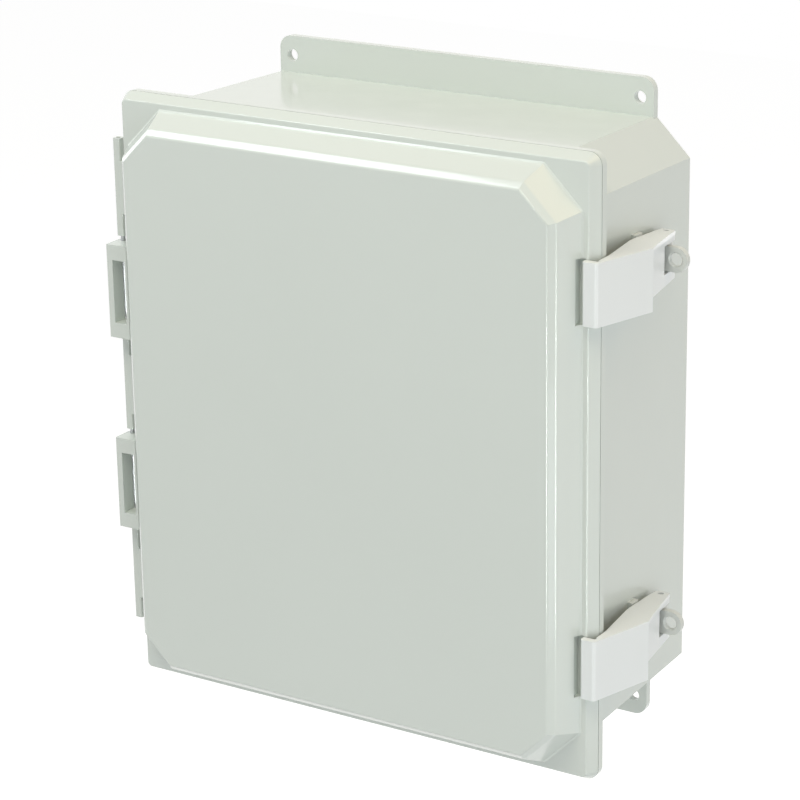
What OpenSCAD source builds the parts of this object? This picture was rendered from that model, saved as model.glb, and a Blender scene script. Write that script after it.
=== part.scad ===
// Hinged polycarbonate wall enclosure, 14 x 12 x 6 inch class.
// +Z is up and the cover faces -Y. The origin is the centre of the four mounting holes,
// on the plane of the wall that the enclosure hangs on.

/* [Box] */
// Outside width of the box at its open front
box_w = 322.7; // [300:1:360]
// Outside height of the box at its open front
box_h = 379.5; // [360:1:420]
// Depth from the wall to the seam with the cover
box_d = 129.5; // [120:1:180]
// Leg of the cut corners of the box, front to back
corner_cut = 23.4; // [18:0.2:28]
// How far each side wall draws in towards the back
side_draft = 2.5; // [1:0.1:4]
// How far the top and bottom walls draw in towards the back
end_draft = 3.6; // [1:0.1:4.5]
// Wall thickness of the box
wall = 4; // [3:0.1:5]

/* [Front flange of the box] */
// How far the flange stands out from the side walls
flange_side = 7.9; // [7:0.1:10]
// How far the flange stands out from the top and bottom walls
flange_end = 5.85; // [5:0.05:9]
// Thickness of the flange
flange_t = 5; // [4:0.1:7]
// Corner radius of the flange
flange_r = 8; // [5:0.5:12]

/* [Seal] */
// Inset of the seal groove's outer side from the flange edge
groove_in = 5.6; // [5:0.1:6.4]
// Width of the seal groove in the cover
groove_w = 4; // [3.6:0.1:4.4]
// Depth of the seal groove
groove_d = 4; // [3.4:0.1:4.6]
// Thickness of the gasket strip
gasket_t = 1.7; // [1.2:0.1:2]
// Width of the tongue on the box that bears on the gasket
tongue_w = 2; // [1.4:0.1:2.2]
// Clearance of the gasket in its groove and off the tongue
seal_clear = 0.1; // [0.05:0.05:0.15]

/* [Cover] */
// Thickness of the cover's rim
rim_t = 8.25; // [7.5:0.05:10]
// How far the rim's edge slopes in from the seam to its front face
rim_flare = 4.24; // [3:0.02:5]
// Corner radius at the rim's front face
rim_r = 3; // [2:0.5:5]
// Radius of the rounded edge round the rim's front face
rim_edge_r = 1.1; // [0.5:0.1:1.6]
// Open seam between the cover's rim and the flange
seam_gap = 0.7; // [0.4:0.05:0.9]
// Flat strip between the rim's front edge and the foot of the crown
rim_strip = 3.9; // [3.2:0.1:5]
// Height of the crown's sloping sides above the rim
crown_h = 16.8; // [12:0.2:26]
// How far the crown's sides draw in over that height
crown_draft = 7.5; // [5:0.1:9]
// Width and height of the bevel round the crown's face
crown_bevel = 4; // [2:0.5:6]
// Leg of the cut corners at the crown's foot
crown_cut_foot = 25.2; // [22:0.2:30]
// Leg of the cut corners at the outer edge of the bevel
crown_cut_bevel = 21.4; // [14:0.2:24]
// Leg of the cut corners of the crown's flat face
crown_cut_face = 18.4; // [11:0.2:21]
// Length of the rounding on each side of the bevel's two edges
crown_round = 1.2; // [0.6:0.1:1.8]
// Size of the fillet round the crown's foot
crown_fillet = 1; // [0.5:0.1:1.8]
// Wall thickness of the cover
cover_wall = 4.2; // [3.2:0.1:5]

/* [Mounting tabs] */
// Width of the mounting tabs
tab_w = 273; // [260:0.1:274]
// How far the tabs stand beyond the box
tab_out = 24.1; // [20:0.1:34]
// Thickness of the tabs
tab_t = 5; // [4:0.5:8]
// Corner radius of the tabs
tab_r = 8.5; // [5:0.5:12]
// Diameter of the mounting holes
hole_d = 8; // [6:0.1:9]
// Spacing of the mounting holes across the box
hole_across = 254; // [240:0.5:256]
// Height of the mounting holes above the box's back edge
hole_up = 11.35; // [9:0.05:14]

/* [Panel inserts] */
// Spacing of the inserts across the box
insert_across = 266.7; // [240:0.1:272]
// Spacing of the inserts up the box
insert_up = 317.5; // [290:0.1:324]
// Diameter of the bosses that hold them
boss_d = 14; // [12:0.5:16]
// Height of the bosses above the back wall
boss_h = 12; // [11:0.5:20]
// Outer diameter of an insert
insert_d = 8; // [7:0.1:9]
// Length of an insert
insert_l = 9.5; // [6:0.1:10]
// Bore of an insert
insert_bore = 4.1; // [3.4:0.1:5.2]

/* [Hinge] */
// Distance of the pin's axis outside the flange edge
pin_out = 8.9; // [8.2:0.05:10]
// Distance of the pin's axis behind the seam
pin_back = 3.76; // [3.4:0.02:5]
// Diameter of the hinge pins
hinge_pin_d = 3; // [2.4:0.1:3.4]
// Radial clearance of the pins in their bores
pin_clear = 0.05; // [0.02:0.01:0.1]
// Length of the middle rail of the box
mid_rail_l = 61; // [50:0.5:64]
// Length of the two outer rails
end_rail_l = 63.5; // [50:0.5:68]
// Width of a rail
rail_w = 5.6; // [5.2:0.1:6.4]
// Thickness of a rail
rail_t = 6; // [5.2:0.1:6.4]
// Length of the web that joins the middle rail to the flange
mid_web_l = 40; // [30:0.5:46]
// Length of the web that joins an outer rail to the flange
end_web_l = 34.6; // [26:0.2:40]
// Thickness of those webs
web_t = 3.2; // [2.4:0.1:4]
// Length of a hinge block of the cover
block_l = 61.6; // [54:0.2:64]
// Space between a hinge block and the next rail
block_gap = 3.6; // [2:0.1:5]
// Radius of a hinge block round the pin
block_r = 4.5; // [4.2:0.1:5]
// Length of the window in a hinge block
window_l = 41.6; // [34:0.2:44]
// Width of the window in a hinge block
window_w = 9.6; // [8:0.1:10.4]
// Thickness of the hinge block's outer wall, beside the window
window_side = 4.2; // [3.8:0.1:4.6]
// How deep a hinge pin's outer end lies inside the outer rail
hinge_pin_sunk = 1; // [0.5:0.1:3]
// How deep a hinge pin ends inside the middle rail
hinge_pin_in = 11; // [8:0.5:14]

/* [Latch lever] */
// Middle of the upper latch, below the top of the box
latch_from_top = 74.75; // [60:0.25:90]
// Middle of the lower latch, above the bottom of the box
latch_from_bottom = 71.75; // [60:0.25:90]
// Height of the lever at its grip
lever_h = 38.4; // [34:0.2:44]
// Height of the lever at its tail
tail_h = 28.8; // [26:0.2:31]
// Wall thickness of the lever
lever_t = 2.4; // [2:0.1:2.8]
// Thickness of the lever's front plate
plate_t = 3; // [2.4:0.1:3.4]
// Thickness of the lip in front of the rim
lip_t = 4.2; // [3:0.1:5]
// Clearance between the lip and the rim
lip_clear = 0.3; // [0.3:0.05:0.5]
// How far the lip reaches in from the flange edge
lip_in = 6; // [5.4:0.1:6.6]
// Outer corner of the lip, outside the flange edge
corner_out = 3.46; // [3.2:0.02:5]
// Radius of that corner
corner_r = 2.4; // [1.5:0.1:3]
// Grip edge of the lever, outside the flange edge
grip_out = 16.8; // [14:0.1:20]
// Grip edge of the lever, behind the rim's face
grip_back = 40.5; // [36:0.5:42]
// Rear panel beside the grip edge, outside the flange edge
panel_out = 7.3; // [6:0.1:8]
// Rear panel at the tail, outside the flange edge
panel_tail_out = 2.6; // [2.4:0.1:3]
// Clearance between the lever's walls and the flange edge
lever_clear = 1.1; // [0.8:0.1:1.4]
// Start of the taper in the lever's height, behind the rim's face
taper_back = 48; // [44:0.5:54]
// Bend in the inner edge of the lever's walls, behind the rim's face
waist_back = 56; // [52:0.5:58]
// Inner edge of the lever's walls at that bend, inside the flange edge
waist_in = 4.4; // [4:0.1:4.8]
// Clearance of the slot round the padlock eye
slot_clear = 1; // [0.8:0.1:1.2]
// Free length of that slot in front of the eye
slot_free = 5; // [4.8:0.1:6]

/* [Latch bracket] */
// Pivot of the lever, inside the flange edge
pivot_in = 2.25; // [2:0.05:2.4]
// Pivot of the lever, behind the rim's face
pivot_back = 91.5; // [88:0.5:96]
// Diameter of the pivot pin
pivot_d = 4; // [3:0.1:4.2]
// Radius of the lever's bosses round the pivot
tail_r = 4.6; // [4.2:0.1:4.8]
// Thickness of the bracket's plate
bracket_t = 2.5; // [2:0.1:2.6]
// Height of the bracket's plate
bracket_h = 17; // [16.4:0.1:17.2]
// Thickness of the seal under the bracket
bracket_seal_t = 1; // [0.6:0.1:1.1]
// Thickness of the bracket's ears
ear_t = 3; // [2.4:0.1:3.4]
// Radius of the ears round the pivot
ear_r = 4.3; // [4:0.1:4.4]
// Radius of the padlock eye
eye_r = 7.8; // [7:0.1:8]
// Diameter of the hole in the padlock eye
eye_hole_d = 8; // [6:0.1:8.4]
// Bevel round both ends of that hole
eye_bevel = 0.8; // [0.4:0.1:1]
// Thickness of the padlock eye
eye_t = 4; // [3:0.1:4.2]
// Centre of the padlock eye, outside the flange edge
eye_out = 8.6; // [8:0.1:9.4]
// Front end of the bracket, behind the rim's face
bracket_front = 43; // [41:0.5:44]
// Middle of the stop rib, behind the rim's face
rib_mid = 64; // [62:0.5:65]
// Width of the stop rib
rib_w = 8; // [6:0.5:9]
// Clearance between the stop rib and the closed lever
rib_clear = 0.3; // [0.3:0.05:0.5]

/* [Fasteners] */
// Diameter of the bracket screws
screw_d = 4; // [3:0.1:4.4]
// Diameter of the screw heads
screw_head_d = 7.6; // [6.5:0.1:8.2]
// Height of the screw heads
screw_head_h = 2.4; // [1.8:0.1:2.8]
// Distance of the bracket screws from the bracket's front end and from its eye
screw_edge = 6.5; // [5.6:0.1:7.5]
// Diameter of the sealing washers inside the box
washer_d = 10; // [8.6:0.1:10.8]
// Thickness of those washers
washer_t = 1; // [0.6:0.1:1.6]
// Size of the nuts across their corners
nut_d = 8.1; // [7.6:0.1:8.8]
// Thickness of the nuts
nut_t = 3.2; // [2.4:0.1:4]
// Diameter of the screw seats inside the box
seat_d = 13; // [11.4:0.1:14]

/* [Hidden] */
$fn = 64;
EPS = 0.01;

SHELL = [0.80, 0.83, 0.80];
LEVER = [0.86, 0.88, 0.88];
SEAL = [0.16, 0.16, 0.17];
STEEL = [0.66, 0.67, 0.69];
BRASS = [0.78, 0.62, 0.32];

// Planes across the depth: the seam, the rim's two faces and the crown's face
seam_y = -box_d;
rim_back_y = seam_y - seam_gap;
rim_face_y = seam_y - rim_t;
crown_y = rim_face_y - crown_h;
face_y = crown_y - crown_bevel;

// Half sizes of the outlines, as [across, up]
box_half = [box_w / 2, box_h / 2];
back_half = box_half - [side_draft, end_draft];
flange_half = box_half + [flange_side, flange_end];
rim_half = flange_half - [rim_flare, rim_flare];
foot_half = rim_half - [rim_strip, rim_strip];
bevel_half = foot_half - [crown_draft, crown_draft];

// A cut corner that keeps the wall's thickness loses this much of its leg
CUT_LOSS = 2 - sqrt(2);

hole_up_z = back_half.y + hole_up;

// The latch pads' flat face lies this far inside the box's widest line
PAD_SINK = 0.15;
// The screw seats stand this far proud of the wall's inner face at the back
SEAT_RISE = 0.2;
// Radial clearance of the bracket screws in their holes
SCREW_CLEAR = 0.2;
// The stop rib is this much shorter than the lever at either end
RIB_SHORT = 0.4;
// Gap between the bracket's ears and the lever's bosses
TAIL_GAP = 0.5;
// The lever runs this far past its pivot
TAIL_OVER = 4;
// The grip edge stands this far behind the rear panel's front end
GRIP_EDGE = 3;

// Hinge
pin_x = -flange_half.x - pin_out;
pin_y = seam_y + pin_back;
pin_bore_r = hinge_pin_d / 2 + pin_clear;
block_z = mid_rail_l / 2 + block_gap + block_l / 2;
end_rail_z = mid_rail_l / 2 + 2 * block_gap + block_l + end_rail_l / 2;
end_rail_top = end_rail_z + end_rail_l / 2;
hinge_pin_end = mid_rail_l / 2 - hinge_pin_in;
hinge_pin_l = end_rail_top - hinge_pin_sunk - hinge_pin_end;

// Latch: places are given as [outside the flange edge, behind the rim's face]
pivot = [-pivot_in, pivot_back];
latch_zs = [box_half.y - latch_from_top, latch_from_bottom - box_half.y];
tail_half = tail_h / 2;
tail_end = pivot_back + TAIL_OVER;
tail_in = pivot_in + tail_r;
waist_end = pivot_back - tail_r;
pad_x = box_half.x - PAD_SINK;
pad_in = pad_x - flange_half.x;
plate_x = pad_in + bracket_seal_t;
plate_mid = plate_x + bracket_t / 2;
plate_face = plate_x + bracket_t;
bracket_back = pivot_back + ear_r;
panel_back = grip_back - GRIP_EDGE;
eye_back = pivot_back - ear_r;
eye_front = eye_back - eye_t;
slot_half = eye_r + slot_clear;
boss_in_half = bracket_h / 2 + TAIL_GAP;
pivot_bore_r = pivot_d / 2 + pin_clear;
rib_half = lever_h / 2 - RIB_SHORT;
seat_x = box_half.x - wall - side_draft - SEAT_RISE;
nut_end_x = seat_x - washer_t - nut_t;
screw_bore_r = screw_d / 2 + SCREW_CLEAR;

// Half height of the lever at a distance behind the rim's face
function lever_half(back) = back <= taper_back ? lever_h / 2
    : lever_h / 2 - (lever_h / 2 - tail_half) * (back - taper_back) / (tail_end - taper_back);

function unit(v) = v / norm(v);

// Points of an arc
function arc(centre, r, from, to, steps = 10) =
    [for (i = [0 : steps]) centre + r * [cos(from + (to - from) * i / steps),
                                         sin(from + (to - from) * i / steps)]];

// ---------- shared shapes ----------

// Extrudes an outline drawn as [across, up] from y forward by a length
module forward(y, length) {
    translate([0, y, 0]) rotate([90, 0, 0]) linear_extrude(length) children();
}

// Rectangle with cut corners
module cut_rect(half, cut) {
    polygon([for (s = [[1, 1], [-1, 1], [-1, -1], [1, -1]])
        each s.x * s.y > 0
            ? [[s.x * half.x, s.y * (half.y - cut)], [s.x * (half.x - cut), s.y * half.y]]
            : [[s.x * (half.x - cut), s.y * half.y], [s.x * half.x, s.y * (half.y - cut)]]]);
}

// Rectangle with round corners
module round_rect(half, r) {
    square([2 * half.x - 2 * r, 2 * half.y], center = true);
    square([2 * half.x, 2 * half.y - 2 * r], center = true);
    for (x = [-1, 1], y = [-1, 1])
        translate([x * (half.x - r), y * (half.y - r)]) circle(r);
}

// Ring that follows the flange edge, between two insets
module flange_ring(inset, width) {
    difference() {
        round_rect(flange_half - [inset, inset], max(flange_r - inset, 1.5));
        round_rect(flange_half - [inset + width, inset + width],
            max(flange_r - inset - width, 1));
    }
}

// Body that tapers between two cut-corner outlines
module taper(y1, half1, cut1, y2, half2, cut2) {
    hull() {
        forward(y1, EPS) cut_rect(half1, cut1);
        forward(y2 + EPS, EPS) cut_rect(half2, cut2);
    }
}

// ---------- box ----------

module box_outside() {
    taper(0, back_half, corner_cut, seam_y, box_half, corner_cut);
}

module box_inside() {
    inset = [wall, wall];
    cut = corner_cut - CUT_LOSS * wall;
    taper(-wall, back_half - inset, cut, seam_y - EPS, box_half - inset, cut);
}

module front_flange() {
    forward(seam_y + flange_t, flange_t) round_rect(flange_half, flange_r);
    tongue_h = groove_d - gasket_t - seal_clear + seam_gap;
    forward(seam_y, tongue_h)
        flange_ring(groove_in + (groove_w - tongue_w) / 2, tongue_w);
}

module mounting_tabs() {
    forward(0, tab_t) difference() {
        round_rect([tab_w / 2, back_half.y + tab_out], tab_r);
        for (x = [-1, 1], z = [-1, 1])
            translate([x * hole_across / 2, z * hole_up_z]) circle(d = hole_d);
    }
}

// One rail of the hinge, with the web that joins it to the flange
module hinge_rail(z, length, web_l) {
    edge = 1.4;
    translate([pin_x, pin_y, z - length / 2]) linear_extrude(length)
        round_rect([rail_w / 2, rail_t / 2], edge);
    reach = pin_out + 1;
    translate([pin_x, seam_y + (flange_t - web_t) / 2, z - web_l / 2])
        cube([reach, web_t, web_l]);
}

module hinge_rails() {
    difference() {
        union() {
            hinge_rail(0, mid_rail_l, mid_web_l);
            for (s = [-1, 1]) hinge_rail(s * end_rail_z, end_rail_l, end_web_l);
        }
        for (s = [0, 1]) mirror([0, 0, s])
            translate([pin_x, pin_y, hinge_pin_end - 0.5])
                cylinder(h = end_rail_top - hinge_pin_end + 1, r = pin_bore_r);
    }
}

// Places a latch part, drawn from the flange edge and the rim's face, at its height
module at_latch(z) {
    translate([flange_half.x, rim_face_y, z]) children();
}

// Extrudes an outline drawn as [behind the rim's face, up] outwards from x
module sideways(x, length) {
    translate([x, 0, 0]) rotate([90, 0, 90]) linear_extrude(length) children();
}

// Outline of a latch bracket's plate
module plate_outline() {
    polygon([for (s = [[-1, -1], [1, -1], [1, 1], [-1, 1]])
        [s.x < 0 ? bracket_front : bracket_back, s.y * bracket_h / 2]]);
}

// Outline of the stop rib that crosses it
module rib_outline() {
    translate([rib_mid - rib_w / 2, -rib_half]) square([rib_w, 2 * rib_half]);
}

// Flat pad on the side wall under a latch bracket
module bracket_pad(z) {
    at_latch(z) sideways(pad_in - wall, wall) {
        plate_outline();
        rib_outline();
    }
}

module insert_places() {
    for (x = [-1, 1], z = [-1, 1])
        translate([x * insert_across / 2, -wall - boss_h, z * insert_up / 2])
            rotate([-90, 0, 0]) children();
}

module screw_places(z) {
    for (back = [bracket_front + screw_edge, eye_front - screw_edge])
        translate([0, rim_face_y + back, z]) rotate([0, 90, 0]) children();
}

module base() {
    color(SHELL) difference() {
        union() {
            difference() {
                union() {
                    box_outside();
                    front_flange();
                    mounting_tabs();
                    for (z = latch_zs) bracket_pad(z);
                }
                box_inside();
            }
            hinge_rails();
            insert_places() cylinder(h = boss_h + 1, d = boss_d);
            for (z = latch_zs)
                translate([seat_x, 0, 0]) screw_places(z) cylinder(h = wall, d = seat_d);
        }
        insert_places() translate([0, 0, -1]) cylinder(h = insert_l + 1.5, r = insert_d / 2 + 0.02);
        for (z = latch_zs)
            translate([seat_x - 1, 0, 0]) screw_places(z)
                cylinder(h = pad_x - seat_x + 2, r = screw_bore_r);
    }
}

module panel_inserts() {
    color(BRASS) insert_places() difference() {
        cylinder(h = insert_l, d = insert_d);
        translate([0, 0, -1]) cylinder(h = insert_l + 2, d = insert_bore);
    }
}

// ---------- cover ----------

// The rim slopes out from its face to the seam, with a rounded edge between them
module rim() {
    slope = atan2(rim_back_y - rim_face_y, rim_flare);
    centre = [-rim_edge_r * tan(slope / 2), rim_edge_r];
    hull() {
        forward(rim_back_y, EPS) round_rect(flange_half, flange_r);
        for (p = arc(centre, rim_edge_r, -90, slope - 90, 3))
            forward(rim_face_y + p.y + EPS, EPS) round_rect(rim_half + [p.x, p.x], rim_r + p.x);
    }
}

// Levels of the crown, as [inset from its foot, height above the rim, leg of its cut corners]
crown_foot = [0, 0, crown_cut_foot];
crown_outer = [crown_draft, crown_h, crown_cut_bevel];
crown_inner = crown_outer + [crown_bevel, crown_bevel, crown_cut_face - crown_cut_bevel];

// Points that round the corner between the lines to two others
function rounded(corner, a, b, steps = 3) =
    [for (i = [0 : steps]) let (u = i / steps)
        corner + crown_round * ((1 - u) * (1 - u) * unit(a - corner) + u * u * unit(b - corner))];

module crown_level(level) {
    forward(rim_face_y - level.y + EPS, EPS)
        cut_rect(foot_half - [level.x, level.x], level.z);
}

module crown() {
    inwards = crown_inner + [1, 0, -CUT_LOSS];
    out = crown_fillet + 1;
    hull() {
        crown_level([0, -1, crown_cut_foot]);
        crown_level(crown_foot);
        for (level = rounded(crown_outer, crown_foot, crown_inner)) crown_level(level);
        for (level = rounded(crown_inner, crown_outer, inwards)) crown_level(level);
    }
    taper(rim_face_y + 1, foot_half + [out, out], crown_cut_foot + CUT_LOSS * out,
        rim_face_y - out, foot_half - [out, out], crown_cut_foot - CUT_LOSS * out);
}

module cover_outside() {
    rim();
    crown();
}

module cover_inside() {
    inset = [cover_wall, cover_wall];
    loss = CUT_LOSS * cover_wall;
    forward(rim_back_y + 1, rim_t + 1) cut_rect(foot_half - inset, crown_cut_foot - loss);
    taper(rim_face_y, foot_half - inset, crown_cut_foot - loss,
        face_y + cover_wall, bevel_half - inset, crown_cut_bevel - loss);
}

// Outline of a hinge block: a square front that runs into the rim, round behind the pin
module block_outline() {
    front = rim_face_y - pin_y;
    back = rim_back_y - pin_y;
    circle(block_r);
    translate([-block_r, front]) square([2 * block_r, -front]);
    translate([-block_r, front]) square([block_r + pin_out + 2, back - front]);
}

module hinge_block(z) {
    translate([pin_x, pin_y, z]) difference() {
        translate([0, 0, -block_l / 2]) linear_extrude(block_l) block_outline();
        translate([-block_r + window_side, rim_face_y - pin_y - 1, -window_l / 2])
            cube([window_w, 2 * block_r + rim_t + pin_back, window_l]);
        translate([0, 0, -block_l]) cylinder(h = 2 * block_l, r = pin_bore_r);
    }
}

// Pocket in the rim and the crown's side that a latch lip dips into
module catch_pocket(z) {
    pocket_h = lever_h + 1.2;
    deep = 2.4;
    up = 4.6;
    reach = 3;
    translate([foot_half.x - reach, rim_face_y - up, z - pocket_h / 2])
        cube([flange_half.x - lip_in + 0.4 - foot_half.x + reach, up + deep, pocket_h]);
}

module cover() {
    color(SHELL) {
        difference() {
            cover_outside();
            cover_inside();
            forward(rim_back_y + 1, groove_d + 1) flange_ring(groove_in, groove_w);
            for (z = latch_zs) catch_pocket(z);
        }
        for (s = [-1, 1]) hinge_block(s * block_z);
    }
}

module cover_gasket() {
    color(SEAL) forward(rim_back_y - groove_d + gasket_t, gasket_t)
        flange_ring(groove_in + seal_clear, groove_w - 2 * seal_clear);
}

// ---------- hinge pins ----------

module hinge_pin() {
    color(STEEL) translate([pin_x, pin_y, hinge_pin_end])
        cylinder(h = hinge_pin_l, d = hinge_pin_d);
}

// ---------- latches ----------

lip_face = -lip_clear - lip_t;
tail_round = 1.6;
edge_break = 0.8;
grip = [grip_out, grip_back];
plate_dir = unit(grip - [corner_out, lip_face]);
plate_in = plate_t * [-plate_dir.y, plate_dir.x];
plate_angle = atan2(plate_dir.y, plate_dir.x);
grip_outer = grip - edge_break * plate_dir;

// Point of the front plate's outer face at a distance behind the rim's face
function plate_point(back) = [corner_out, lip_face]
    + plate_dir * (back - lip_face) / plate_dir.y;

// Point of the front plate's inner face
function inner_point(back) = plate_point(back - plate_in.y) + plate_in;

// Lip and front plate, in plan
module lip_and_plate() {
    corner_tangent = corner_r * tan(plate_angle / 2);
    polygon([
        [-lip_in, -lip_clear],
        [-lip_in, lip_face + edge_break],
        [-lip_in + edge_break, lip_face],
        each arc([corner_out - corner_tangent, lip_face + corner_r],
            corner_r, -90, plate_angle - 90),
        grip_outer,
        grip + edge_break * unit(plate_in),
        grip + plate_in,
        inner_point(panel_back),
        inner_point(panel_back - lever_t),
        inner_point(-lip_clear)]);
}

// Plan of the lever's end walls; the upper one fills the wedge behind the grip edge
module end_wall_plan(behind_grip) {
    polygon([
        [lever_clear, 2],
        plate_point(2) + plate_in / 2,
        each behind_grip
            ? [plate_point(panel_back) + plate_in / 2, grip_outer]
            : [plate_point(panel_back) + plate_in / 2, inner_point(panel_back),
                [panel_out, panel_back]],
        each arc([panel_tail_out, tail_end] - [tail_round, tail_round], tail_round, 0, 90, 6),
        each arc([-tail_in, tail_end] + [tail_round, -tail_round], tail_round, 90, 180, 6),
        [-tail_in, waist_end],
        [-waist_in, waist_back],
        [lever_clear, flange_t + rim_t + 1]]);
}

// Recessed rear panel and the web that carries it from the front plate, in plan
module rear_panel_plan() {
    start = [panel_out, panel_back];
    end = [panel_tail_out, tail_end - tail_round];
    in = lever_t * [-unit(end - start).y, unit(end - start).x];
    polygon([start, end, end + in, start + in]);
    polygon([
        start + in,
        start,
        inner_point(panel_back),
        plate_point(panel_back - lever_t / 2) + plate_in / 2,
        inner_point(panel_back - lever_t),
        [start.x + in.x, panel_back - lever_t]]);
}

// Side outline of the lever, extruded through its whole width
module lever_side(inside) {
    backs = [lip_face - 1, taper_back, tail_end + 1];
    upper = [for (back = backs) [back, lever_half(back) - inside]];
    lower = [for (i = [2 : -1 : 0]) [backs[i], inside - lever_half(backs[i])]];
    sideways(-tail_in - 2, tail_in + grip_out + 4) polygon(concat(upper, lower));
}

module whole_height() {
    translate([0, 0, -lever_h]) linear_extrude(2 * lever_h) children();
}

module latch_lever(z) {
    color(LEVER) at_latch(z) difference() {
        intersection() {
            lever_side(0);
            union() {
                whole_height() lip_and_plate();
                whole_height() rear_panel_plan();
                difference() {
                    union() {
                        linear_extrude(lever_h) end_wall_plan(true);
                        mirror([0, 0, 1]) linear_extrude(lever_h) end_wall_plan(false);
                    }
                    lever_side(lever_t);
                }
                for (s = [0, 1]) mirror([0, 0, s])
                    translate([pivot.x, pivot.y, boss_in_half])
                        cylinder(h = tail_half - boss_in_half - 1, r = tail_r);
            }
        }
        translate([pivot.x, pivot.y, -lever_h]) cylinder(h = 2 * lever_h, r = pivot_bore_r);
        translate([-lever_t - 2, eye_front - slot_free, -slot_half])
            cube([panel_out + lever_t + 2, tail_end - eye_front + slot_free + 1, 2 * slot_half]);
    }
}

// Padlock eye: a plate across the lever's slot, round at its outer end
module padlock_eye() {
    translate([0, eye_back, 0]) rotate([90, 0, 0]) difference() {
        linear_extrude(eye_t) {
            translate([eye_out, 0]) circle(eye_r);
            translate([plate_mid, -eye_r]) square([eye_out - plate_mid, 2 * eye_r]);
        }
        translate([eye_out, 0, -1]) cylinder(h = eye_t + 2, d = eye_hole_d);
        for (end = [0, 1]) translate([eye_out, 0, end * eye_t]) mirror([0, 0, end])
            translate([0, 0, -EPS])
                cylinder(h = eye_bevel + EPS, d1 = eye_hole_d + 2 * eye_bevel, d2 = eye_hole_d);
    }
}

// Ear beside the pivot, round at its outer back corner
module bracket_ear() {
    linear_extrude(ear_t) polygon([
        [plate_mid, eye_back - eye_t / 2],
        [pivot.x + ear_r, eye_back - eye_t / 2],
        each arc(pivot, ear_r, 0, 90),
        [plate_mid, bracket_back]]);
}

// The rib's ends stand on the box and under the closed lever's walls, as its stop
module stop_rib() {
    rib_end = rib_mid + rib_w / 2;
    wall_in = waist_in + (tail_in - waist_in) * (rib_end - waist_back) / (waist_end - waist_back);
    difference() {
        sideways(pad_in, -wall_in - rib_clear - pad_in) rib_outline();
        sideways(pad_in - 1, plate_mid - pad_in + 1) plate_outline();
    }
}

module latch_bracket(z) {
    top = bracket_h / 2;
    color(SHELL) difference() {
        at_latch(z) difference() {
            union() {
                sideways(plate_x, bracket_t) plate_outline();
                stop_rib();
                for (s = [0, 1]) mirror([0, 0, s])
                    translate([0, 0, top - ear_t]) bracket_ear();
                padlock_eye();
            }
            translate([pivot.x, pivot.y, -top - 1]) cylinder(h = bracket_h + 2, r = pivot_bore_r);
        }
        bracket_screw_bores(z);
    }
}

module bracket_screw_bores(z) {
    translate([pad_x - 1, 0, 0]) screw_places(z) cylinder(h = bracket_t + 4, r = screw_bore_r);
}

module bracket_seal(z) {
    color(SEAL) difference() {
        at_latch(z) sideways(pad_in, bracket_seal_t) plate_outline();
        bracket_screw_bores(z);
    }
}

module bracket_screws(z) {
    head_x = flange_half.x + plate_face;
    color(STEEL) screw_places(z) {
        translate([0, 0, nut_end_x - 1.5]) cylinder(h = head_x - nut_end_x + 1.5 + EPS, d = screw_d);
        translate([0, 0, head_x]) cylinder(h = screw_head_h, d = screw_head_d);
    }
}

module bracket_washers(z) {
    color(SEAL) translate([seat_x - washer_t, 0, 0]) screw_places(z) difference() {
        cylinder(h = washer_t, d = washer_d);
        translate([0, 0, -1]) cylinder(h = washer_t + 2, r = screw_d / 2 + pin_clear);
    }
}

module bracket_nuts(z) {
    color(STEEL) translate([nut_end_x, 0, 0]) screw_places(z) difference() {
        cylinder(h = nut_t, d = nut_d, $fn = 6);
        translate([0, 0, -1]) cylinder(h = nut_t + 2, r = screw_d / 2 + pin_clear);
    }
}

module latch_pin(z) {
    color(STEEL) at_latch(z) translate([pivot.x, pivot.y, -tail_half + 0.3])
        cylinder(h = tail_h - 0.6, d = pivot_d);
}

base();
cover();
cover_gasket();
hinge_pin();  // hinge_pin_upper
mirror([0, 0, 1]) hinge_pin();  // hinge_pin_lower
panel_inserts();
latch_bracket(latch_zs[0]);  // latch_bracket_upper
latch_bracket(latch_zs[1]);  // latch_bracket_lower
bracket_seal(latch_zs[0]);  // bracket_seal_upper
bracket_seal(latch_zs[1]);  // bracket_seal_lower
bracket_screws(latch_zs[0]);  // bracket_screws_upper
bracket_screws(latch_zs[1]);  // bracket_screws_lower
bracket_washers(latch_zs[0]);  // bracket_washers_upper
bracket_washers(latch_zs[1]);  // bracket_washers_lower
bracket_nuts(latch_zs[0]);  // bracket_nuts_upper
bracket_nuts(latch_zs[1]);  // bracket_nuts_lower
latch_lever(latch_zs[0]);  // latch_lever_upper
latch_lever(latch_zs[1]);  // latch_lever_lower
latch_pin(latch_zs[0]);  // latch_pin_upper
latch_pin(latch_zs[1]);  // latch_pin_lower
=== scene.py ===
import math

import bpy
from mathutils import Matrix, Vector


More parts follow.
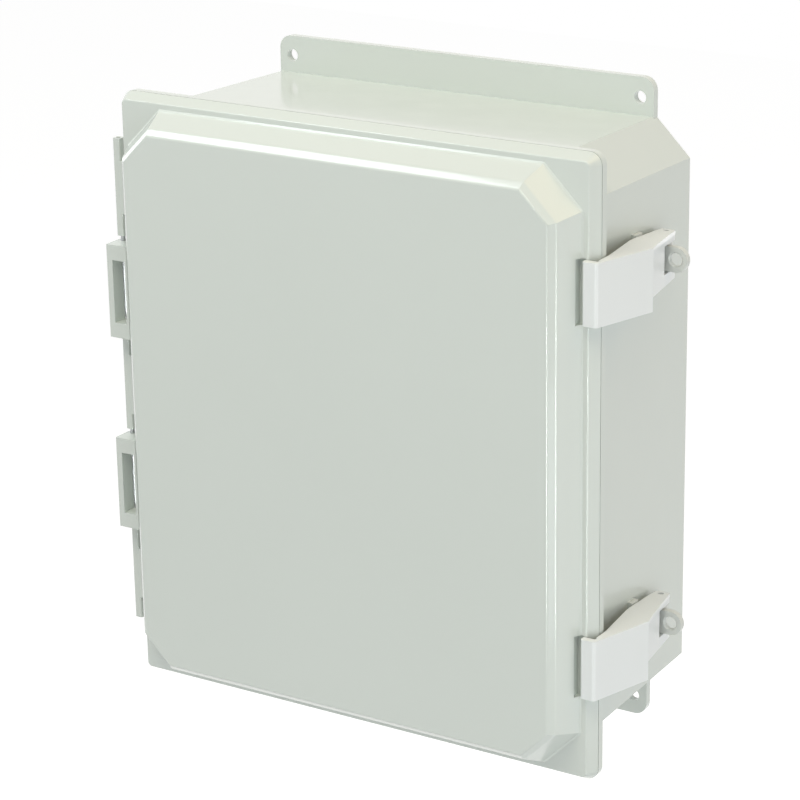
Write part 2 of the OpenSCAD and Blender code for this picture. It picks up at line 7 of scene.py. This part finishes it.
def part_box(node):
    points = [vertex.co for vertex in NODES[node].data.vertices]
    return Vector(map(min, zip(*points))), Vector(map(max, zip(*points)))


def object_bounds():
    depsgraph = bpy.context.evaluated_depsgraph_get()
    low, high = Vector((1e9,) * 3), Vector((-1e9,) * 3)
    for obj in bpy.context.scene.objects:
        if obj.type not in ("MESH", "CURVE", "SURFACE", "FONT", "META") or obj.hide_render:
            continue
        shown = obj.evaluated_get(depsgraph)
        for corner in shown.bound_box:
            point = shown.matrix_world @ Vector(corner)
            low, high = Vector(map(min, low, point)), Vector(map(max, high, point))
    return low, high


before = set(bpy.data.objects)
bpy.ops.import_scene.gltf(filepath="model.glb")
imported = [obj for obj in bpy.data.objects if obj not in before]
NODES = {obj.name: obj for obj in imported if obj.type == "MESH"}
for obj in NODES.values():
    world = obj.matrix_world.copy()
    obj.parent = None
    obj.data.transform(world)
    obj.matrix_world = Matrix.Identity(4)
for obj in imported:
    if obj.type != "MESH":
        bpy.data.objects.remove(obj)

CAD_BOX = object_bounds()


# ---------- camera ----------

CAMERA_AZIMUTH = math.radians(32.63)
CAMERA_ELEVATION = math.radians(18.90)
CAMERA_ROLL = math.radians(-0.95)
CAMERA_DISTANCE = 1.7887
CAMERA_LENS_MM = 131.56
SENSOR_MM = 36.0
CLIP_NEAR = 0.05
CLIP_FAR = 30
RIM_FACE_BEHIND_CROWN = 0.0208  # the cover's rim face lies this far behind its crown
AIM_RIGHT = 0.0302              # the view's centre, right of the rim face's centre
AIM_UP = 0.0210                 # and above it


def make_camera():
    away = Vector((
        math.sin(CAMERA_AZIMUTH) * math.cos(CAMERA_ELEVATION),
        -math.cos(CAMERA_AZIMUTH) * math.cos(CAMERA_ELEVATION),
        math.sin(CAMERA_ELEVATION)))
    level_right = Vector((math.cos(CAMERA_AZIMUTH), math.sin(CAMERA_AZIMUTH), 0))
    level_up = away.cross(level_right)
    right = math.cos(CAMERA_ROLL) * level_right + math.sin(CAMERA_ROLL) * level_up
    up = away.cross(right)
    rim_centre = Vector((0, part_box("cover")[0].y + RIM_FACE_BEHIND_CROWN, 0))
    place = rim_centre + away * CAMERA_DISTANCE + right * AIM_RIGHT + up * AIM_UP
    data = bpy.data.cameras.new("camera")
    data.lens = CAMERA_LENS_MM
    data.sensor_width = SENSOR_MM
    data.clip_start = CLIP_NEAR
    data.clip_end = CLIP_FAR
    camera = bpy.data.objects.new("camera", data)
    camera.matrix_world = Matrix((
        (right.x, up.x, away.x, place.x),
        (right.y, up.y, away.y, place.y),
        (right.z, up.z, away.z, place.z),
        (0, 0, 0, 1)))
    bpy.context.scene.collection.objects.link(camera)
    bpy.context.scene.camera = camera


# ---------- materials ----------

# Colours are 0-255 sRGB, from the dark to the light end of a slow drift
SHELL_COLOURS = ((210, 216, 210), (213, 219, 213))
BRACKET_COLOURS = ((210, 213, 208), (214, 217, 212))
LEVER_COLOURS = ((231, 234, 234), (235, 238, 238))
RUBBER_COLOURS = ((34, 34, 36), (50, 50, 52))
STEEL_COLOURS = ((170, 171, 174), (190, 191, 193))
BRASS_COLOURS = ((188, 150, 84), (206, 168, 98))

SHELL_ROUGHNESS = 0.21
LATCH_ROUGHNESS = 0.32
RUBBER_ROUGHNESS = 0.75
STEEL_ROUGHNESS = 0.34
BRASS_ROUGHNESS = 0.32
PLASTIC_UNEVEN = 0.03           # roughness varies by this much either way
RUBBER_UNEVEN = 0.07
METAL_UNEVEN = 0.08

# Noise features per metre
PLASTIC_DRIFT_SCALE = 9.0
PLASTIC_GLOSS_SCALE = 38.0
PLASTIC_RIPPLE_SCALE = 420.0
RUBBER_DRIFT_SCALE = 120.0
RUBBER_GLOSS_SCALE = 300.0
RUBBER_GRAIN_SCALE = 1800.0
METAL_MARKS_SCALE = 700.0

# Depths of the bumps, in metres
SHELL_RIPPLE = 0.00003
BRACKET_RIPPLE = 0.00003
LEVER_RIPPLE = 0.00004
RUBBER_GRAIN = 0.00008
METAL_MARKS = 0.00003

PLASTIC_SPECULAR = 0.5
PLASTIC_IOR = 1.5
SHELL_COAT = 0.4
COAT_ROUGHNESS = 0.06
STEEL_STRETCH = (1, 1, 8)       # marks are fine along Z, so they ring the upright pins
BRASS_STRETCH = (8, 1, 1)       # marks are fine along X, so they run along the inserts
NOISE_LOW, NOISE_HIGH = 0.3, 0.7    # most of a noise's values lie between these


def linear(srgb):
    """A colour written as 0-255 sRGB, in the linear values that shaders take."""
    def channel(v):
        v /= 255
        return v / 12.92 if v <= 0.04045 else ((v + 0.055) / 1.055) ** 2.4
    return tuple(channel(v) for v in srgb) + (1.0,)


class Nodes:
    """A material's node tree, with short calls to add and join nodes."""

    def __init__(self, name):
        self.material = bpy.data.materials.new(name)
        self.material.use_nodes = True
        self.tree = self.material.node_tree
        self.shader = self.tree.nodes["Principled BSDF"]
        self.coords = self.add("ShaderNodeTexCoord").outputs["Object"]

    def add(self, kind, **values):
        node = self.tree.nodes.new(kind)
        for key, value in values.items():
            node.inputs[key.replace("_", " ")].default_value = value
        return node

    def link(self, a, b):
        self.tree.links.new(a, b)

    def noise(self, scale, detail=3.0, stretch=(1, 1, 1)):
        """Noise on the object's own coordinates, in features per metre."""
        mapping = self.add("ShaderNodeMapping")
        mapping.inputs["Scale"].default_value = stretch
        self.link(self.coords, mapping.inputs["Vector"])
        noise = self.add("ShaderNodeTexNoise", Scale=scale, Detail=detail)
        self.link(mapping.outputs["Vector"], noise.inputs["Vector"])
        return noise.outputs["Fac"]

    def tint(self, fac, colours):
        """Base colour that drifts between two close colours."""
        dark, light = colours
        mix = self.add("ShaderNodeMix")
        mix.data_type = "RGBA"
        mix.inputs[6].default_value = linear(dark)
        mix.inputs[7].default_value = linear(light)
        self.link(fac, mix.inputs["Factor"])
        self.link(mix.outputs[2], self.shader.inputs["Base Color"])

    def gloss(self, fac, roughness, uneven):
        """Roughness that varies with a noise."""
        ramp = self.add("ShaderNodeMapRange")
        ramp.inputs["From Min"].default_value = NOISE_LOW
        ramp.inputs["From Max"].default_value = NOISE_HIGH
        ramp.inputs["To Min"].default_value = roughness - uneven
        ramp.inputs["To Max"].default_value = roughness + uneven
        self.link(fac, ramp.inputs["Value"])
        self.link(ramp.outputs["Result"], self.shader.inputs["Roughness"])

    def bump(self, height, distance):
        bump = self.add("ShaderNodeBump", Strength=1.0, Distance=distance)
        self.link(height, bump.inputs["Height"])
        self.link(bump.outputs["Normal"], self.shader.inputs["Normal"])


def polycarbonate(name, colours, roughness, ripple, coat=0.0):
    """Moulded plastic: drifting colour, uneven gloss and the faint ripple of a moulded skin."""
    m = Nodes(name)
    m.tint(m.noise(PLASTIC_DRIFT_SCALE, 4.0), colours)
    m.gloss(m.noise(PLASTIC_GLOSS_SCALE, 4.0), roughness, PLASTIC_UNEVEN)
    m.bump(m.noise(PLASTIC_RIPPLE_SCALE, 2.0), ripple)
    m.shader.inputs["Specular IOR Level"].default_value = PLASTIC_SPECULAR
    m.shader.inputs["IOR"].default_value = PLASTIC_IOR
    m.shader.inputs["Coat Weight"].default_value = coat
    m.shader.inputs["Coat Roughness"].default_value = COAT_ROUGHNESS
    return m.material


def rubber(name):
    """Matt black rubber with a fine grain."""
    m = Nodes(name)
    m.tint(m.noise(RUBBER_DRIFT_SCALE), RUBBER_COLOURS)
    m.gloss(m.noise(RUBBER_GLOSS_SCALE), RUBBER_ROUGHNESS, RUBBER_UNEVEN)
    m.bump(m.noise(RUBBER_GRAIN_SCALE, 3.0), RUBBER_GRAIN)
    return m.material


def metal(name, colours, roughness, stretch):
    """Turned or drawn metal, with its fine marks running one way."""
    m = Nodes(name)
    marks = m.noise(METAL_MARKS_SCALE, 5.0, stretch)
    m.tint(marks, colours)
    m.gloss(marks, roughness, METAL_UNEVEN)
    m.bump(marks, METAL_MARKS)
    m.shader.inputs["Metallic"].default_value = 1.0
    return m.material


def dress(material, names):
    for name in names:
        data = NODES[name].data
        data.materials.clear()
        data.materials.append(material)


def named(*starts):
    return [n for n in NODES if n.startswith(starts)]


def dress_nodes():
    shell = polycarbonate(
        "shell_polycarbonate", SHELL_COLOURS, SHELL_ROUGHNESS, SHELL_RIPPLE, SHELL_COAT)
    bracket = polycarbonate(
        "bracket_polycarbonate", BRACKET_COLOURS, LATCH_ROUGHNESS, BRACKET_RIPPLE)
    lever = polycarbonate(
        "lever_polycarbonate", LEVER_COLOURS, LATCH_ROUGHNESS, LEVER_RIPPLE)
    dress(shell, ["base", "cover"])
    dress(bracket, named("latch_bracket"))
    dress(lever, named("latch_lever"))
    dress(rubber("seal_rubber"), named("cover_gasket", "bracket_seal", "bracket_washers"))
    dress(metal("steel", STEEL_COLOURS, STEEL_ROUGHNESS, STEEL_STRETCH),
          named("bracket_screws", "bracket_nuts", "latch_pin", "hinge_pin"))
    dress(metal("brass", BRASS_COLOURS, BRASS_ROUGHNESS, BRASS_STRETCH), ["panel_inserts"])


# ---------- moulded edges ----------

EDGE_RADIUS = {"latch_lever": 0.0006, "latch_bracket": 0.0004}
EDGE_SEGMENTS = 2
EDGE_ANGLE = math.radians(32)
SPLIT_ANGLE = math.radians(26)
FLAT_ANGLE = math.radians(0.4)
WELD_DISTANCE = 0.00001


def smooth_faces():
    """Flat faces stay flat, round ones are smooth, and the latches' edges have a small radius."""
    for name, node in NODES.items():
        weld = node.modifiers.new("weld", "WELD")
        weld.merge_threshold = WELD_DISTANCE
        flat = node.modifiers.new("flat", "DECIMATE")
        flat.decimate_type = "DISSOLVE"
        flat.angle_limit = FLAT_ANGLE
        radius = next((r for start, r in EDGE_RADIUS.items() if name.startswith(start)), 0)
        if radius:
            bevel = node.modifiers.new("edges", "BEVEL")
            bevel.width = radius
            bevel.segments = EDGE_SEGMENTS
            bevel.limit_method = "ANGLE"
            bevel.angle_limit = EDGE_ANGLE
        split = node.modifiers.new("split", "EDGE_SPLIT")
        split.split_angle = SPLIT_ANGLE
        split.use_edge_sharp = False
        even = node.modifiers.new("even", "WEIGHTED_NORMAL")
        even.mode = "FACE_AREA"
        even.keep_sharp = False
        for polygon in node.data.polygons:
            polygon.use_smooth = True


# ---------- floor and light ----------

FLOOR_DROP = 1.0                # the box hangs on a wall, this far above the floor
FLOOR_SIZE = 12.0
FLOOR_COLOUR = (236, 236, 236)
FLOOR_ROUGHNESS = 0.9
FLOOR_GLOW = 0.6                # added where the floor is seen, so that it shows white
WORLD_LIGHT = 0.45              # the world's strength on the object
WORLD_SEEN = 1.0                # and where it is seen: white
WHITE = (1, 1, 1, 1)


def seen_rays(tree):
    """1 for rays that show a background: the camera's, and those reflected or sent through."""
    path = tree.nodes.new("ShaderNodeLightPath")
    kinds = ("Is Camera Ray", "Is Glossy Ray", "Is Transmission Ray")
    seen = path.outputs[kinds[0]]
    for kind in kinds[1:]:
        either = tree.nodes.new("ShaderNodeMath")
        either.operation = "MAXIMUM"
        tree.links.new(seen, either.inputs[0])
        tree.links.new(path.outputs[kind], either.inputs[1])
        seen = either.outputs[0]
    return seen


def make_floor():
    half = FLOOR_SIZE / 2
    z = CAD_BOX[0][2] - FLOOR_DROP
    corners = ((-half, -half), (half, -half), (half, half), (-half, half))
    mesh = bpy.data.meshes.new("floor")
    mesh.from_pydata([(x, y, z) for x, y in corners], [], [(0, 1, 2, 3)])
    floor = bpy.data.objects.new("floor", mesh)
    bpy.context.scene.collection.objects.link(floor)
    m = Nodes("floor_white")
    m.shader.inputs["Base Color"].default_value = linear(FLOOR_COLOUR)
    m.shader.inputs["Roughness"].default_value = FLOOR_ROUGHNESS
    m.shader.inputs["Specular IOR Level"].default_value = 0.0
    strength = m.add("ShaderNodeMath")
    strength.operation = "MULTIPLY"
    strength.inputs[1].default_value = FLOOR_GLOW
    m.link(seen_rays(m.tree), strength.inputs[0])
    m.shader.inputs["Emission Color"].default_value = WHITE
    m.link(strength.outputs[0], m.shader.inputs["Emission Strength"])
    mesh.materials.append(m.material)


def make_world():
    world = bpy.data.worlds.new("studio")
    world.use_nodes = True
    tree = world.node_tree
    background = tree.nodes["Background"]
    strength = tree.nodes.new("ShaderNodeMapRange")
    strength.inputs["To Min"].default_value = WORLD_LIGHT
    strength.inputs["To Max"].default_value = WORLD_SEEN
    tree.links.new(seen_rays(tree), strength.inputs["Value"])
    tree.links.new(strength.outputs["Result"], background.inputs["Strength"])
    background.inputs["Color"].default_value = WHITE
    bpy.context.scene.world = world


LIGHT_AIM = Vector((0, -0.08, 0))
GLOSS_ONLY = True               # the light shows in gloss alone, as a white line along an edge

# Name, place, size across and up (m), power (W), colour
LIGHTS = (
    ("overhead", (0.2, -1.3, 2.2), (1.6, 1.0), 26.5, (1.0, 0.96, 0.83)),
    ("key", (-1.02, -0.72, 1.60), (0.7, 0.5), 7.5, (0.84, 0.94, 1.0)),
    ("front_fill", (2.3, -1.5, 0.3), (1.4, 1.6), 12.0, (0.87, 0.96, 1.0)),
    ("front_left", (-1.2, -2.4, 0.5), (1.6, 1.8), 3.5, (0.84, 0.95, 1.0)),
    ("warm", (1.30, 0.16, 1.90), (1.2, 1.2), 6.0, (1.0, 0.70, 0.30)),
    ("left_edge", (-2.2, 0.29, 0.33), (0.8, 0.8), 4.0, (0.95, 1.0, 1.0)),
    ("low_front", (1.57, -1.02, -0.66), (0.8, 0.3), 1.8, (0.86, 0.96, 1.0)),
    ("low_side", (1.9, 0.35, -0.62), (0.9, 0.8), 2.0, (0.92, 0.97, 1.0)),
    ("edge_front", (0.54, -2.0, -0.64), (0.2, 0.5), 12.0, (0.92, 1.0, 0.97), GLOSS_ONLY),
    ("edge_side", (2.0, -0.54, -0.64), (0.12, 0.5), 6.0, (0.92, 1.0, 0.97), GLOSS_ONLY),
    ("edge_top", (0.13, -2.1, 0.55), (0.25, 0.12), 3.0, (1.0, 1.0, 0.95), GLOSS_ONLY),
    ("rear_fill", (0.0, 2.4, -0.3), (1.4, 1.2), 5.0, (1.0, 1.0, 1.0)),
)


def area_light(name, place, size, power, colour, gloss_only=False):
    data = bpy.data.lights.new(name, "AREA")
    data.shape = "RECTANGLE"
    data.size, data.size_y = size
    data.energy = power
    data.color = colour
    light = bpy.data.objects.new(name, data)
    light.location = place
    light.rotation_euler = (Vector(place) - LIGHT_AIM).to_track_quat("Z", "Y").to_euler()
    light.visible_diffuse = not gloss_only
    bpy.context.scene.collection.objects.link(light)


make_camera()
dress_nodes()
smooth_faces()
make_floor()
make_world()
for light in LIGHTS:
    area_light(*light)

scene = bpy.context.scene
scene.view_settings.view_transform = "Standard"
